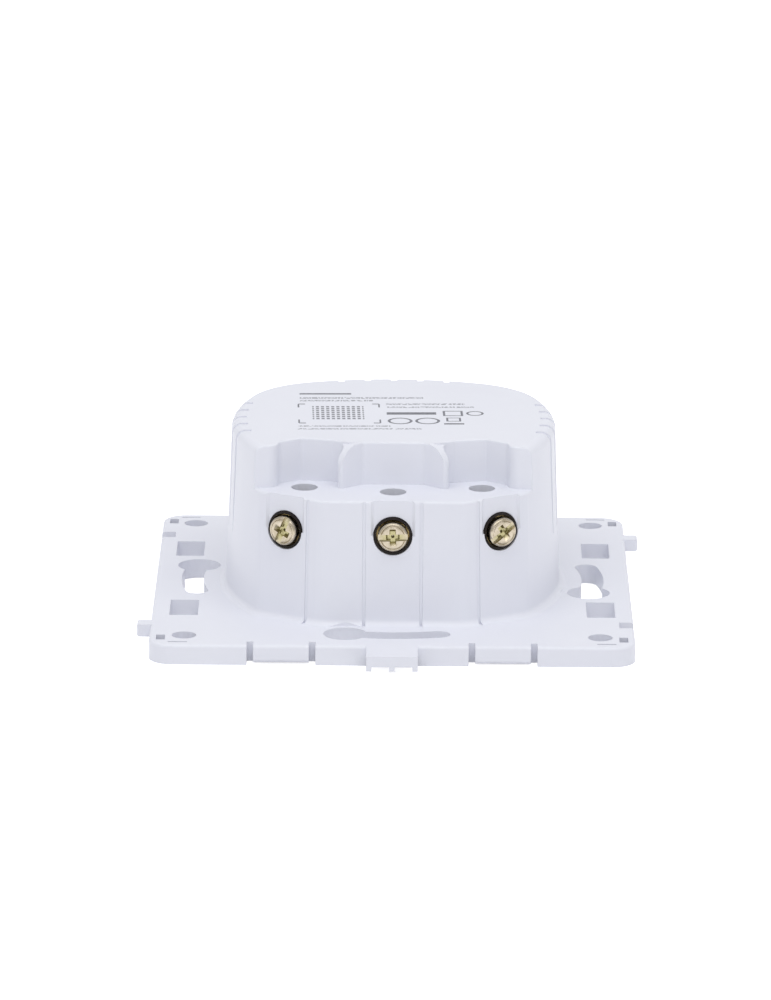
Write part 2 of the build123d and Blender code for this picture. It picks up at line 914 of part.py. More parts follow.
def microcontroller():
    lead = (chip_lead_w, chip_lead_out, chip_lead_t)
    return leaded_chip((chip_side, chip_side, chip_t), (chip_x, chip_y), control_top, chip_leads, lead)


# Clamp parts, each made with local X straight out of the wall and the wire hole at the origin
def clamp_body():
    low = power_top
    high = ledge_under - ledge_gap
    front = wire_setback - cup_wall - slip
    body = block(-body_back, front, -body_half, body_half, low, high)
    half = cage_half + running
    pocket_front = clamp_space + cage_wall + loose
    pocket_back = -(clamp_space + cage_back + busbar_t + running)
    body -= block(pocket_back, pocket_front, -half, half, low + body_floor, high - body_cap)
    body -= pillar(0, 0, wire_hole_r + loose, high - body_cap - 1, high + 1)
    collar = rod(collar_r, pocket_front, wire_setback - collar_inset, screw_z)
    body += collar
    body -= rod(collar_bore_r, clamp_space, wire_setback + 1, screw_z)
    return body - busbar_tail(loose)


def clamp_cage():
    back = -(clamp_space + cage_back + busbar_t - loose)
    cage = block(back, clamp_space + cage_wall, -cage_half, cage_half, cage_z_low, cage_z_high)
    inside = cage_half - cage_side
    cage -= block(back + cage_back, clamp_space, -inside, inside, cage_z_low - 1, cage_z_high + 1)
    return cage - rod(shank_r + running, clamp_space - 1, clamp_space + cage_wall + 1, screw_z)


def busbar_tail(grow=0.0):
    inner = -(clamp_space - loose)
    half = busbar_tail_half + grow
    low = power_z - busbar_tail_drop - grow
    return block(inner - busbar_t - grow, inner + grow, -half, half, low, power_top + body_floor + grow)


def busbar():
    inner = -(clamp_space - loose)
    low, high = power_top + body_floor, cage_z_high - loose
    return block(inner - busbar_t, inner, -busbar_half, busbar_half, low, high) + busbar_tail()


def pressure_plate():
    inner = screw_open - (clamp_space - loose)
    low, high = screw_z - plate_tall / 2, screw_z + plate_tall / 2
    plate = block(inner, inner + plate_t, -plate_half, plate_half, low, high)
    return plate - rod(spigot_r + loose, inner - 1, inner + plate_t + 1, screw_z)


# Domed head with a slot across a cross, a threaded shank and a spigot that holds the plate.
# It is drawn screwed home, and saved as supplied, screwed out by screw_open.
def clamp_screw(turned):
    plate_face = -(clamp_space - loose) + plate_t
    rise = head_t - head_edge_t
    dome_r = (head_r**2 + rise**2) / (2 * rise)
    dome_mid = head_seat + head_t - dome_r + sqrt(dome_r**2 - head_r**2 / 4)
    profile = make_face(
        [
            Line((head_seat, 0), (head_seat, head_r)),
            Line((head_seat, head_r), (head_seat + head_edge_t, head_r)),
            ThreePointArc(
                (head_seat + head_edge_t, head_r),
                (dome_mid, head_r / 2),
                (head_seat + head_t, 0),
            ),
            Line((head_seat + head_t, 0), (head_seat, 0)),
        ]
    )
    head = Pos(0, 0, screw_z) * revolve(Plane.XY * profile, Axis.X)
    top = head_seat + head_t
    slot = block(top - slot_depth, top + 1, -head_r - 1, head_r + 1, -slot_w / 2, slot_w / 2)
    head -= Pos(0, 0, screw_z) * Rot(turned, 0, 0) * slot
    for turn in (turned, turned + 90):
        cross = block(top - cross_depth, top + 1, -cross_len / 2, cross_len / 2, -cross_w / 2, cross_w / 2)
        head -= Pos(0, 0, screw_z) * Rot(turn, 0, 0) * cross
    screw = head + rod(shank_r, plate_face + running, head_seat, screw_z)
    screw += rod(spigot_r, -(clamp_space - loose) + running, plate_face + running, screw_z)
    return Pos(screw_open, 0, 0) * screw


# Relay. Its coil stands on the foot of the yoke, and the armature tips on the yoke's top edge.
def relay_box(inset, z0, z1):
    x, y = relay_w / 2 - inset, relay_d / 2 - inset
    return block(relay_x - x, relay_x + x, relay_y - y, relay_y + y, z0, z1)


relay_floor = power_top + relay_base_t
yoke_right = relay_x + relay_w / 2 - relay_wall - yoke_clear
yoke_top = power_top + relay_h - relay_wall - yoke_top_clear
core_top = yoke_top - armature_gap
coil_at = (relay_x + coil_x, relay_y)
armature_z = yoke_top + running
contact_x = yoke_right - contact_reach


def relay_base():
    return relay_box(0, power_top, relay_floor)


def relay_case():
    case = relay_box(0, relay_floor, power_top + relay_h)
    return case - relay_box(relay_wall, relay_floor - 1, power_top + relay_h - relay_wall)


def relay_yoke():
    half = yoke_w / 2
    left = coil_at[0] - bobbin_r
    foot = block(left, yoke_right, relay_y - half, relay_y + half, relay_floor, relay_floor + yoke_t)
    wall = block(yoke_right - yoke_t, yoke_right, relay_y - half, relay_y + half, relay_floor, yoke_top)
    return foot + wall - pillar(*coil_at, core_stem_r, relay_floor - 1, relay_floor + yoke_t + 1)


def relay_core():
    core = pillar(*coil_at, core_r, relay_floor + yoke_t, core_top)
    return core + pillar(*coil_at, core_stem_r - running, relay_floor, relay_floor + yoke_t)


def relay_bobbin():
    low = relay_floor + yoke_t
    high = core_top - loose
    tube = pillar(*coil_at, core_r + bobbin_flange, low, high)
    for z in (low, high - bobbin_flange):
        tube += pillar(*coil_at, bobbin_r, z, z + bobbin_flange)
    room = block(coil_at[0] - reach, yoke_right - yoke_t - running, -reach, reach, low - 1, high + 1)
    return (tube & room) - pillar(*coil_at, core_r + running, low - 1, high + 1)


def relay_winding():
    low = relay_floor + yoke_t + bobbin_flange
    high = core_top - loose - bobbin_flange
    wire = pillar(*coil_at, coil_r, low, high)
    return wire - pillar(*coil_at, core_r + bobbin_flange, low - 1, high + 1)


def relay_armature():
    half = yoke_w / 2 - slip
    left = yoke_right - armature_len
    return block(left, yoke_right, relay_y - half, relay_y + half, armature_z, armature_z + armature_t)


def relay_moving_contact():
    half = spring_w / 2
    top = armature_z + armature_t
    left, right = yoke_right - spring_len, yoke_right - spring_root
    leaf = block(left, right, relay_y - half, relay_y + half, top, top + spring_t)
    middle = top + spring_t / 2
    reach_z = contact_t + spring_t / 2
    return leaf + pillar(contact_x, relay_y, contact_r, middle - reach_z, middle + reach_z)


# Two fixed contacts, the upper one touched at rest. Each has an arm, a leg beside it and a rivet.
def relay_fixed_contacts():
    middle = armature_z + armature_t + spring_t / 2
    reach_z = contact_t + spring_t / 2
    left = relay_x - relay_w / 2 + relay_wall + slip
    half = blade_w / 2
    contacts = Part()
    for side, face in ((1, middle + reach_z + running), (-1, middle - reach_z - contact_gap - running)):
        near = face + side * contact_t
        far = near + side * blade_t
        low, high = sorted((near, far))
        arm = block(left, contact_x + contact_r, relay_y - half, relay_y + half, low, high)
        inner = relay_y + side * (half + loose)
        outer = inner + side * blade_w
        arm += block(left, left + blade_t, *sorted((relay_y, outer)), low, high)
        arm += block(left, left + blade_t, *sorted((inner, outer)), relay_floor, high)
        arm += pillar(contact_x, relay_y, contact_r, *sorted((face, near)))
        contacts += arm
    return contacts


def film_capacitor():
    can = standing(film_cap, film_cap_at, power_top)
    return fillet(can.edges().filter_by(Axis.Z), can_round)


def bulk_capacitor():
    can = pillar(*bulk_cap_at, bulk_cap_r, power_top, power_top + bulk_cap_h)
    can = fillet(can.edges().filter_by(GeomType.CIRCLE), can_round)
    crimp = Torus(bulk_cap_r + can_crimp_r / 2, can_crimp_r)
    return can - Pos(*bulk_cap_at, power_top + can_crimp_up) * crimp


def choke_core():
    spool = pillar(*choke_at, choke_neck_r, power_top, power_top + choke_h)
    for z in (power_top, power_top + choke_h - choke_flange):
        spool += pillar(*choke_at, choke_r, z, z + choke_flange)
    return spool


def choke_winding():
    low = power_top + choke_flange
    high = power_top + choke_h - choke_flange
    wire = pillar(*choke_at, choke_r - loose, low, high)
    return wire - pillar(*choke_at, choke_neck_r, low - 1, high + 1)


def varistor():
    x, y = varistor_at
    middle = power_top + varistor_lead + varistor_r
    disc = Pos(x, y, middle) * Rot(0, 90, 0) * Cylinder(varistor_r, varistor_t)
    disc = fillet(disc.edges().filter_by(GeomType.CIRCLE), varistor_t / 4)
    for side in (-1, 1):
        disc += pillar(x, y + side * varistor_r / 2, header_pin / 2, power_top, middle)
    return disc


def fuse():
    body = pillar(*fuse_at, fuse_r, power_top, power_top + fuse_h)
    return fillet(body.edges().group_by(Axis.Z)[-1], fuse_round)


def bridge_rectifier():
    return leaded_chip(bridge, bridge_at, power_top, bridge_leads, (lead_w, lead_out, lead_t))


def supply_regulator():
    lead = (lead_w, lead_out, lead_t)
    tab = (regulator_tab_w, lead_out, lead_t)
    chip = leaded_chip(regulator, regulator_at, power_top, regulator_leads, lead, sides=(-1,))
    return chip + leaded_chip(regulator, regulator_at, power_top, 1, tab, sides=(1,))


pieces = {
    "mounting_frame": mounting_frame,
    "rear_housing": rear_housing,
    "front_cover": front_cover,
    "housing_screws": cover_screws,
    "light_guide": light_guide,
    "status_leds": status_leds,
    "control_board": control_board,
    "panel_socket": panel_socket,
    "panel_contacts": socket_pins,
    "board_header": board_header,
    "header_pins": header_pins,
    "radio_module": radio_module,
    "radio_shield": radio_shield,
    "antenna": antenna,
    "microcontroller": microcontroller,
    "power_board": power_board,
    "board_screws": board_screws,
    "relay_base": relay_base,
    "relay_case": relay_case,
    "relay_yoke": relay_yoke,
    "relay_core": relay_core,
    "relay_bobbin": relay_bobbin,
    "relay_winding": relay_winding,
    "relay_armature": relay_armature,
    "relay_moving_contact": relay_moving_contact,
    "relay_fixed_contacts": relay_fixed_contacts,
    "film_capacitor": film_capacitor,
    "bulk_capacitor": bulk_capacitor,
    "choke_core": choke_core,
    "choke_winding": choke_winding,
    "varistor": varistor,
    "fuse": fuse,
    "bridge_rectifier": bridge_rectifier,
    "supply_regulator": supply_regulator,
}
clamp_pieces = {
    "terminal_body": clamp_body,
    "terminal_cage": clamp_cage,
    "busbar": busbar,
    "pressure_plate": pressure_plate,
}

os.makedirs("parts", exist_ok=True)
for name, make in pieces.items():
    save(name, make())
for name, make in clamp_pieces.items():
    for number in (1, 2, 3):
        save(f"{name}_{number}", clamp_place(number) * make())
for number in (1, 2, 3):
    save(f"terminal_screw_{number}", clamp_place(number) * clamp_screw(screw_turns[number - 1]))
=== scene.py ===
import json
import math

import bmesh
import bpy
from mathutils import Matrix, Vector


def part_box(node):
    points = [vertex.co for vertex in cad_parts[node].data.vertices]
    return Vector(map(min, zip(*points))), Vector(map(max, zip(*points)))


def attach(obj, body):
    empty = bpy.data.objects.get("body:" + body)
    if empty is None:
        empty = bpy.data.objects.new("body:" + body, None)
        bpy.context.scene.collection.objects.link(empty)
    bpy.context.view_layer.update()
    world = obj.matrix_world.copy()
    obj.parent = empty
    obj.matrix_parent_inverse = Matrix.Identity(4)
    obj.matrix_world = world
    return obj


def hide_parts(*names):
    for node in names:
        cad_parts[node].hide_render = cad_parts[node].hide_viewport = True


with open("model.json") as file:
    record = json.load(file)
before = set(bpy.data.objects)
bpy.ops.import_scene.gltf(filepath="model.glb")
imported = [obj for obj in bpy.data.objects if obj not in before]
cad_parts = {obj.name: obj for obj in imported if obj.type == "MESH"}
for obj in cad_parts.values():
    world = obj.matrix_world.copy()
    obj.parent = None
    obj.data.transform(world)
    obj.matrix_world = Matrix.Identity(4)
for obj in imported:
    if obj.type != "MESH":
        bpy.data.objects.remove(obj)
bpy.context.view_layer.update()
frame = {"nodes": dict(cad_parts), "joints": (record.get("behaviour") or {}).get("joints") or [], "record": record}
nodes = frame["nodes"]
mm = 0.001
print("frame loaded:", len(nodes), "nodes")


# Small helpers for node materials. Every pattern reads Object coordinates, in metres.
def newMaterial(name):
    mat = bpy.data.materials.new(name)
    mat.use_nodes = True
    return mat, mat.node_tree, mat.node_tree.nodes["Principled BSDF"]


def coordinates(tree, stretch=(1, 1, 1), turn=0.0):
    place = tree.nodes.new("ShaderNodeTexCoord")
    mapping = tree.nodes.new("ShaderNodeMapping")
    mapping.inputs["Scale"].default_value = stretch
    mapping.inputs["Rotation"].default_value[2] = math.radians(turn)
    tree.links.new(place.outputs["Object"], mapping.inputs["Vector"])
    return mapping.outputs["Vector"]


def noise(tree, where, size, detail=2.0, roughness=0.5):
    node = tree.nodes.new("ShaderNodeTexNoise")
    node.inputs["Scale"].default_value = 1 / size
    node.inputs["Detail"].default_value = detail
    node.inputs["Roughness"].default_value = roughness
    tree.links.new(where, node.inputs["Vector"])
    return node.outputs["Fac"]


def span(tree, value, low, high, fromLow=0.3, fromHigh=0.7):
    node = tree.nodes.new("ShaderNodeMapRange")
    node.inputs["From Min"].default_value = fromLow
    node.inputs["From Max"].default_value = fromHigh
    node.inputs["To Min"].default_value = low
    node.inputs["To Max"].default_value = high
    tree.links.new(value, node.inputs["Value"])
    return node.outputs["Result"]


def blendColours(tree, factor, first, second):
    node = tree.nodes.new("ShaderNodeMix")
    node.data_type = "RGBA"
    tree.links.new(factor, node.inputs["Factor"])
    for socket, colour in (("A", first), ("B", second)):
        target = [s for s in node.inputs if s.name == socket and s.type == "RGBA"][0]
        if isinstance(colour, (tuple, list)):
            target.default_value = (*colour, 1)
        else:
            tree.links.new(colour, target)
    return [s for s in node.outputs if s.type == "RGBA"][0]


def sums(tree, kind, first, second=None):
    node = tree.nodes.new("ShaderNodeMath")
    node.operation = kind
    for socket, value in zip(node.inputs, (first, second)):
        if value is None:
            continue
        if isinstance(value, (int, float)):
            socket.default_value = value
        else:
            tree.links.new(value, socket)
    return node.outputs[0]


def bump(tree, height, depth, under=None):
    node = tree.nodes.new("ShaderNodeBump")
    node.inputs["Strength"].default_value = 1.0
    node.inputs["Distance"].default_value = depth
    tree.links.new(height, node.inputs["Height"])
    if under is not None:
        tree.links.new(under, node.inputs["Normal"])
    return node.outputs["Normal"]


# 1 for rays that show the surroundings to the eye: straight, mirrored or through clear plastic
def seenRays(tree):
    ray = tree.nodes.new("ShaderNodeLightPath")
    seen = sums(tree, "MAXIMUM", ray.outputs["Is Camera Ray"], ray.outputs["Is Glossy Ray"])
    return sums(tree, "MAXIMUM", seen, ray.outputs["Is Transmission Ray"])


def softEdges(tree, radius):
    node = tree.nodes.new("ShaderNodeBevel")
    node.samples = 6
    node.inputs["Radius"].default_value = radius
    return node.outputs["Normal"]


# The plain normal between two heights, the softened one elsewhere
def pickNormal(tree, where, band, softened):
    part = tree.nodes.new("ShaderNodeSeparateXYZ")
    tree.links.new(where, part.inputs[0])
    low = sums(tree, "GREATER_THAN", part.outputs["Z"], band[0])
    high = sums(tree, "LESS_THAN", part.outputs["Z"], band[1])
    plain = tree.nodes.new("ShaderNodeNewGeometry")
    node = tree.nodes.new("ShaderNodeMix")
    node.data_type = "VECTOR"
    ends = [s for s in node.inputs if s.type == "VECTOR" and s.name in "AB"]
    tree.links.new(sums(tree, "MULTIPLY", low, high), node.inputs["Factor"])
    tree.links.new(softened, ends[0])
    tree.links.new(plain.outputs["Normal"], ends[1])
    return [s for s in node.outputs if s.type == "VECTOR"][0]


# Moulded plastic: a slow drift of tone, a fine spark-eroded grain, and softly broken edges
def mouldedPlastic(name, look):
    mat, tree, shader = newMaterial(name)
    where = coordinates(tree)
    drift = span(tree, noise(tree, where, look["driftSize"], 3.0), 0, 1)
    grain = noise(tree, where, look["grainSize"], 2.0)
    tone = blendColours(tree, drift, look["colour"], look["deep"])
    tree.links.new(tone, shader.inputs["Base Color"])
    tree.links.new(span(tree, grain, *look["roughness"]), shader.inputs["Roughness"])
    edges = softEdges(tree, look["edge"])
    if look.get("sharpBelow"):
        edges = pickNormal(tree, where, look["sharpBelow"], edges)
    tree.links.new(bump(tree, grain, look["grainDepth"], edges), shader.inputs["Normal"])
    shader.inputs["IOR"].default_value = look["ior"]
    return mat, tree, shader, tone


whitePlastic = {
    "colour": (0.800, 0.812, 0.876),
    "deep": (0.780, 0.790, 0.860),
    "driftSize": 14 * mm,
    "grainSize": 0.22 * mm,
    "grainDepth": 0.006 * mm,
    "roughness": (0.40, 0.52),
    "edge": 0.08 * mm,
    "ior": 1.50,
}
housingLook = {**whitePlastic, "sharpBelow": (-0.1 * mm, 1.1 * mm)}


# Marks on the back of the housing, in grey ink: plain rules, rows of dashes, brackets, dots and rings
marks = {
    "plane": 24.9 * mm,
    "turn": 1.5,
    "ink": (0.085, 0.088, 0.112),
    "fade": (0.78, 1.0),
    "dashCover": 0.74,
    "fadeSize": 0.25 * mm,
    "waver": 0.55 * mm,  # how far the dashes stray from an even pitch
    "waverSize": 1.3 * mm,
    "bars": [  # middle x, middle y, width, height, in mm
        (-10.0, 13.9, 7.8, 0.80),
        (2.7, 2.2, 7.4, 1.40),
        (8.9, -3.9, 3.0, 0.75),
    ],
    "dashes": [  # middle x, middle y, width, height, pitch, share of the pitch
        (-4.6, 11.4, 18.6, 0.86, 0.66, 0.66),
        (-8.4, 9.8, 11.0, 0.78, 0.60, 0.62),
        (4.9, 7.7, 11.8, 0.78, 0.64, 0.66),
        (5.6, 5.9, 13.2, 0.74, 0.58, 0.62),
        (-7.4, -5.2, 13.8, 0.66, 0.54, 0.64),
        (-5.2, -6.8, 18.4, 0.66, 0.60, 0.66),
    ],
    "brackets": {"middle": (-8.1, 2.2), "size": (12.1, 11.2), "arm": 1.0, "line": (0.24, 0.45)},
    "dots": {"middle": (-8.25, 2.45), "size": (7.7, 8.1), "pitch": (0.77, 1.16), "fill": 0.60},
    "frames": [(8.9, 2.2, 3.0, 3.0, 0.34), (8.9, -1.4, 2.2, 2.2, 0.30)],  # and the line's width
    "rings": [(0.9, -2.2, 1.65, 0.42), (5.0, -2.2, 1.65, 0.42), (12.2, 2.2, 1.15, 0.34)],
}


def insideBar(tree, where, middle, size):
    offset = tree.nodes.new("ShaderNodeVectorMath")
    offset.operation = "SUBTRACT"
    offset.inputs[1].default_value = (middle[0] * mm, middle[1] * mm, 0)
    tree.links.new(where, offset.inputs[0])
    spread = tree.nodes.new("ShaderNodeVectorMath")
    spread.operation = "ABSOLUTE"
    tree.links.new(offset.outputs[0], spread.inputs[0])
    part = tree.nodes.new("ShaderNodeSeparateXYZ")
    tree.links.new(spread.outputs[0], part.inputs[0])
    across = sums(tree, "LESS_THAN", part.outputs["X"], size[0] / 2 * mm)
    along = sums(tree, "LESS_THAN", part.outputs["Y"], size[1] / 2 * mm)
    return sums(tree, "MULTIPLY", across, along)


def repeated(tree, value, pitch, fill):
    share = sums(tree, "FRACT", sums(tree, "DIVIDE", value, pitch * mm))
    return sums(tree, "LESS_THAN", share, fill)


def inkMask(tree):
    where = coordinates(tree, turn=-marks["turn"])
    part = tree.nodes.new("ShaderNodeSeparateXYZ")
    tree.links.new(where, part.inputs[0])
    x, y, z = part.outputs
    masks = [insideBar(tree, where, (bx, by), (w, h)) for bx, by, w, h in marks["bars"]]
    stray = span(tree, noise(tree, where, marks["waverSize"], 1.0), -marks["waver"], marks["waver"])
    uneven = sums(tree, "ADD", x, stray)
    for bx, by, w, h, pitch, fill in marks["dashes"]:
        row = insideBar(tree, where, (bx, by), (w, h))
        row = sums(tree, "MULTIPLY", row, repeated(tree, uneven, pitch, fill))
        masks.append(sums(tree, "MULTIPLY", row, marks["dashCover"]))
    box = marks["brackets"]
    arm, line = box["arm"], box["line"]
    for i in (-1, 1):
        for j in (-1, 1):
            cornerX = box["middle"][0] + i * box["size"][0] / 2
            cornerY = box["middle"][1] + j * box["size"][1] / 2
            masks.append(insideBar(tree, where, (cornerX, cornerY - j * arm), (line[0], 2 * arm)))
            masks.append(insideBar(tree, where, (cornerX - i * arm / 2, cornerY), (arm, line[1])))
    dots = marks["dots"]
    field = insideBar(tree, where, dots["middle"], dots["size"])
    for value, pitch in zip((x, y), dots["pitch"]):
        field = sums(tree, "MULTIPLY", field, repeated(tree, value, pitch, dots["fill"]))
    masks.append(field)
    for bx, by, w, h, line in marks["frames"]:
        outer = insideBar(tree, where, (bx, by), (w, h))
        inner = insideBar(tree, where, (bx, by), (w - 2 * line, h - 2 * line))
        masks.append(sums(tree, "SUBTRACT", outer, inner))
    for ringX, ringY, radius, line in marks["rings"]:
        dx = sums(tree, "SUBTRACT", x, ringX * mm)
        dy = sums(tree, "SUBTRACT", y, ringY * mm)
        squares = sums(tree, "ADD", sums(tree, "MULTIPLY", dx, dx), sums(tree, "MULTIPLY", dy, dy))
        offLine = sums(tree, "ABSOLUTE", sums(tree, "SUBTRACT", sums(tree, "SQRT", squares), radius * mm))
        masks.append(sums(tree, "LESS_THAN", offLine, line / 2 * mm))
    total = masks[0]
    for mask in masks[1:]:
        total = sums(tree, "MAXIMUM", total, mask)
    return sums(tree, "MULTIPLY", total, sums(tree, "GREATER_THAN", z, marks["plane"]))


def printedPlastic(name, look):
    mat, tree, shader, tone = mouldedPlastic(name, look)
    mask = inkMask(tree)
    wear = span(tree, noise(tree, coordinates(tree), marks["fadeSize"], 3.0), *marks["fade"])
    cover = sums(tree, "MULTIPLY", mask, wear)
    inked = blendColours(tree, cover, tone, marks["ink"])
    tree.links.new(inked, shader.inputs["Base Color"])
    return mat


# Plated or bare metal: cloudy tone, fine brushed or tumbled marks, and on the screws a painted shade in the head's
# recesses
def metal(name, look):
    mat, tree, shader = newMaterial(name)
    where = coordinates(tree)
    streaks = coordinates(tree, look["stretch"])
    cloud = span(tree, noise(tree, where, look["cloudSize"], 4.0, 0.6), 0, 1)
    fineMarks = noise(tree, streaks, look["markSize"], 3.0, 0.6)
    tone = blendColours(tree, cloud, look["colour"], look["deep"])
    # Painted shade: the screw head's slot and cross get a darker olive, the deeper the darker
    if look.get("recess"):
        recessShade = tree.nodes.new("ShaderNodeAttribute")
        recessShade.attribute_name = "recess"
        tone = blendColours(tree, recessShade.outputs["Fac"], tone, look["recess"])
    tree.links.new(tone, shader.inputs["Base Color"])
    tree.links.new(span(tree, fineMarks, *look["roughness"]), shader.inputs["Roughness"])
    edges = softEdges(tree, look["edge"])
    tree.links.new(bump(tree, fineMarks, look["markDepth"], edges), shader.inputs["Normal"])
    shader.inputs["Metallic"].default_value = 1.0
    return mat


metals = {
    "screw_brass": {"colour": (0.54, 0.475, 0.385), "deep": (0.38, 0.33, 0.235), "cloudSize": 0.8 * mm,
                    "markSize": 0.12 * mm, "stretch": (1, 1, 1), "markDepth": 0.005 * mm,
                    # recess: the olive of the painted shade in the screw head's slot and cross
                    "roughness": (0.16, 0.36), "edge": 0.03 * mm, "recess": (0.40, 0.365, 0.20)},
    "clamp_brass": {"colour": (0.72, 0.55, 0.26), "deep": (0.60, 0.43, 0.17), "cloudSize": 2 * mm,
                    "markSize": 0.15 * mm, "stretch": (1, 1, 0.15), "markDepth": 0.003 * mm,
                    "roughness": (0.25, 0.42), "edge": 0.05 * mm},
    "steel": {"colour": (0.60, 0.60, 0.62), "deep": (0.48, 0.49, 0.52), "cloudSize": 1.5 * mm,
              "markSize": 0.10 * mm, "stretch": (1, 0.2, 1), "markDepth": 0.003 * mm,
              "roughness": (0.24, 0.40), "edge": 0.05 * mm},
    "contact_gold": {"colour": (0.86, 0.66, 0.30), "deep": (0.78, 0.56, 0.22), "cloudSize": 1 * mm,
                     "markSize": 0.08 * mm, "stretch": (1, 1, 0.2), "markDepth": 0.002 * mm,
                     "roughness": (0.15, 0.28), "edge": 0.04 * mm},
    "core_iron": {"colour": (0.46, 0.46, 0.47), "deep": (0.36, 0.35, 0.34), "cloudSize": 2 * mm,
                  "markSize": 0.20 * mm, "stretch": (1, 1, 0.3), "markDepth": 0.005 * mm,
                  "roughness": (0.34, 0.55), "edge": 0.06 * mm},
}

plastics = {
    "clamp_plastic": {"colour": (0.009, 0.006, 0.006), "deep": (0.016, 0.011, 0.009), "driftSize": 3 * mm,
                      "grainSize": 0.15 * mm, "grainDepth": 0.003 * mm, "roughness": (0.22, 0.40),
                      "edge": 0.05 * mm, "ior": 1.25},
    "black_plastic": {"colour": (0.020, 0.020, 0.022), "deep": (0.034, 0.034, 0.036), "driftSize": 2 * mm,
                      "grainSize": 0.12 * mm, "grainDepth": 0.006 * mm, "roughness": (0.45, 0.62),
                      "edge": 0.08 * mm, "ior": 1.50},
    "relay_blue": {"colour": (0.030, 0.095, 0.36), "deep": (0.022, 0.075, 0.30), "driftSize": 6 * mm,
                   "grainSize": 0.30 * mm, "grainDepth": 0.003 * mm, "roughness": (0.22, 0.34),
                   "edge": 0.25 * mm, "ior": 1.50},
    "bobbin_white": {"colour": (0.74, 0.72, 0.66), "deep": (0.68, 0.66, 0.58), "driftSize": 3 * mm,
                     "grainSize": 0.20 * mm, "grainDepth": 0.004 * mm, "roughness": (0.40, 0.55),
                     "edge": 0.10 * mm, "ior": 1.50},
    "film_box": {"colour": (0.70, 0.52, 0.08), "deep": (0.62, 0.44, 0.06), "driftSize": 4 * mm,
                 "grainSize": 0.25 * mm, "grainDepth": 0.004 * mm, "roughness": (0.25, 0.40),
                 "edge": 0.25 * mm, "ior": 1.50},
    "ferrite": {"colour": (0.045, 0.044, 0.046), "deep": (0.075, 0.072, 0.070), "driftSize": 1.5 * mm,
                "grainSize": 0.18 * mm, "grainDepth": 0.020 * mm, "roughness": (0.55, 0.80),
                "edge": 0.15 * mm, "ior": 1.80},
    "disc_blue": {"colour": (0.050, 0.16, 0.42), "deep": (0.040, 0.12, 0.34), "driftSize": 2 * mm,
                  "grainSize": 0.50 * mm, "grainDepth": 0.020 * mm, "roughness": (0.18, 0.30),
                  "edge": 0.20 * mm, "ior": 1.55},
    "fuse_brown": {"colour": (0.20, 0.065, 0.025), "deep": (0.15, 0.045, 0.018), "driftSize": 3 * mm,
                   "grainSize": 0.25 * mm, "grainDepth": 0.004 * mm, "roughness": (0.25, 0.40),
                   "edge": 0.20 * mm, "ior": 1.50},
    "led_body": {"colour": (0.86, 0.84, 0.70), "deep": (0.84, 0.76, 0.42), "driftSize": 0.6 * mm,
                 "grainSize": 0.10 * mm, "grainDepth": 0.002 * mm, "roughness": (0.20, 0.35),
                 "edge": 0.08 * mm, "ior": 1.50},
}


# Glass-fibre board: lacquer over weave, with copper tracks showing lighter through it
boardLook = {
    "lacquer": (0.012, 0.105, 0.040),
    "overTrack": (0.030, 0.190, 0.075),
    "trackSize": 2.6 * mm,
    "trackLine": 0.06,
    "weaveSize": 0.45 * mm,
    "weaveDepth": 0.006 * mm,
    "weaveShare": 0.3,  # of the height of a track
    "cloudSize": 1.2 * mm,
    "roughness": (0.20, 0.34),
}


def circuitBoard(name):
    mat, tree, shader = newMaterial(name)
    where = coordinates(tree)
    cells = tree.nodes.new("ShaderNodeTexVoronoi")
    cells.feature = "DISTANCE_TO_EDGE"
    cells.inputs["Scale"].default_value = 1 / boardLook["trackSize"]
    tree.links.new(where, cells.inputs["Vector"])
    track = sums(tree, "LESS_THAN", cells.outputs["Distance"], boardLook["trackLine"])
    weave = tree.nodes.new("ShaderNodeTexChecker")
    weave.inputs["Scale"].default_value = 1 / boardLook["weaveSize"]
    tree.links.new(where, weave.inputs["Vector"])
    tone = blendColours(tree, track, boardLook["lacquer"], boardLook["overTrack"])
    tree.links.new(tone, shader.inputs["Base Color"])
    cloudy = span(tree, noise(tree, where, boardLook["cloudSize"]), *boardLook["roughness"])
    tree.links.new(cloudy, shader.inputs["Roughness"])
    height = sums(tree, "ADD", track, sums(tree, "MULTIPLY", weave.outputs["Fac"], boardLook["weaveShare"]))
    tree.links.new(bump(tree, height, boardLook["weaveDepth"]), shader.inputs["Normal"])
    return mat


# Enamelled copper: round turns of wire one above the other, with a painted shade between the turns and a painted
# highlight on each turn's crown
wireLook = {
    "crownHighlight": (0.62, 0.24, 0.08),
    "grooveShade": (0.26, 0.07, 0.02),
    "turn": 0.22 * mm,
    "waveLength": 0.314,  # of one turn in the pattern at scale 1
    "unevenness": 0.4,
    "depth": 0.05 * mm,
    "cloudSize": 0.5 * mm,
    "roughness": (0.22, 0.36),
    "metallic": 0.85,
    "enamel": 0.6,
    "enamelRoughness": 0.15,
}


def copperWinding(name):
    mat, tree, shader = newMaterial(name)
    where = coordinates(tree)
    turns = tree.nodes.new("ShaderNodeTexWave")
    turns.wave_type = "BANDS"
    turns.bands_direction = "Z"
    turns.inputs["Scale"].default_value = wireLook["waveLength"] / wireLook["turn"]
    turns.inputs["Distortion"].default_value = wireLook["unevenness"]
    tree.links.new(where, turns.inputs["Vector"])
    # Painted light: each turn's colour runs from shade in the groove to highlight on the crown, in step with the
    # bump
    tone = blendColours(tree, turns.outputs["Fac"], wireLook["grooveShade"], wireLook["crownHighlight"])
    tree.links.new(tone, shader.inputs["Base Color"])
    cloudy = span(tree, noise(tree, where, wireLook["cloudSize"]), *wireLook["roughness"])
    tree.links.new(cloudy, shader.inputs["Roughness"])
    tree.links.new(bump(tree, turns.outputs["Fac"], wireLook["depth"]), shader.inputs["Normal"])
    shader.inputs["Metallic"].default_value = wireLook["metallic"]
    shader.inputs["Coat Weight"].default_value = wireLook["enamel"]
    shader.inputs["Coat Roughness"].default_value = wireLook["enamelRoughness"]
    return mat


